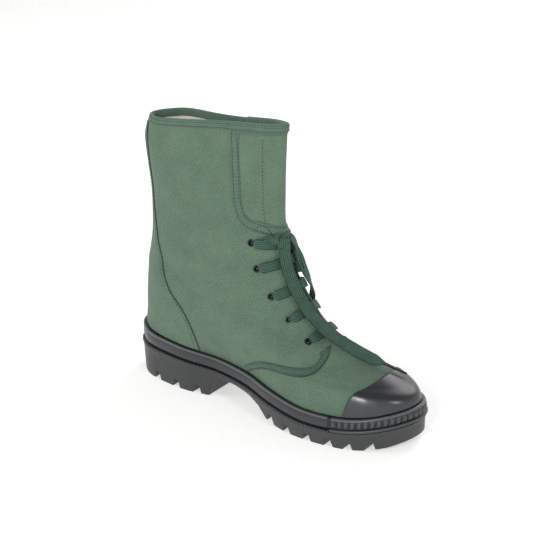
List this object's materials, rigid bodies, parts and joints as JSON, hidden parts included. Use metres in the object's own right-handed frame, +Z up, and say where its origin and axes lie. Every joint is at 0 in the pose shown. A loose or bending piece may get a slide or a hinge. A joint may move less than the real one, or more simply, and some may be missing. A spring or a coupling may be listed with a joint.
{
  "type": "tactical boot",
  "caption": "Lace-up canvas boot for the right foot: tall shaft with a front flap, rubber toe cap and bumper, and a lugged rubber sole.",
  "frame": {"origin": "on the floor under the middle of the boot's box", "axes": "+X from heel to toe, +Y towards the medial side, +Z up"},
  "size_m": [0.3185, 0.103, 0.2744],
  "materials": {
    "sole_rubber": "moulded, matt",
    "band_rubber": "moulded, satin",
    "cap_rubber": "smooth, satin",
    "canvas": "twill weave, matt",
    "tape": "woven cotton tape, matt",
    "lace": "flat woven lace, matt",
    "insole_cloth": "cotton lining, matt",
    "eyelet_metal": "black lacquered, satin",
    "aglet_film": "shrunk film, satin"
  },
  "bodies": {
    "root": {"aglet_lateral": "aglet_film", "aglet_medial": "aglet_film", "collar_binding": "tape", "eyelet_lateral_1": "eyelet_metal", "eyelet_lateral_2": "eyelet_metal", "eyelet_lateral_3": "eyelet_metal", "eyelet_lateral_4": "eyelet_metal", "eyelet_lateral_5": "eyelet_metal", "eyelet_medial_1": "eyelet_metal", "eyelet_medial_2": "eyelet_metal", "eyelet_medial_3": "eyelet_metal", "eyelet_medial_4": "eyelet_metal", "eyelet_medial_5": "eyelet_metal", "foxing": "band_rubber", "front_flap": "canvas", "heel_counter": "canvas", "insole": "insole_cloth", "lace_bar_1": "lace", "lace_bar_2": "lace", "lace_bar_3": "lace", "lace_bar_4": "lace", "lace_bar_5": "lace", "lace_end_lateral": "lace", "lace_end_medial": "lace", "lace_knot": "lace", "outsole": "sole_rubber", "quarter_seam_lateral": "tape", "quarter_seam_medial": "tape", "toe_bumper": "band_rubber", "toe_cap": "cap_rubber", "tongue": "canvas", "upper": "canvas"}
  },
  "joints": []
}
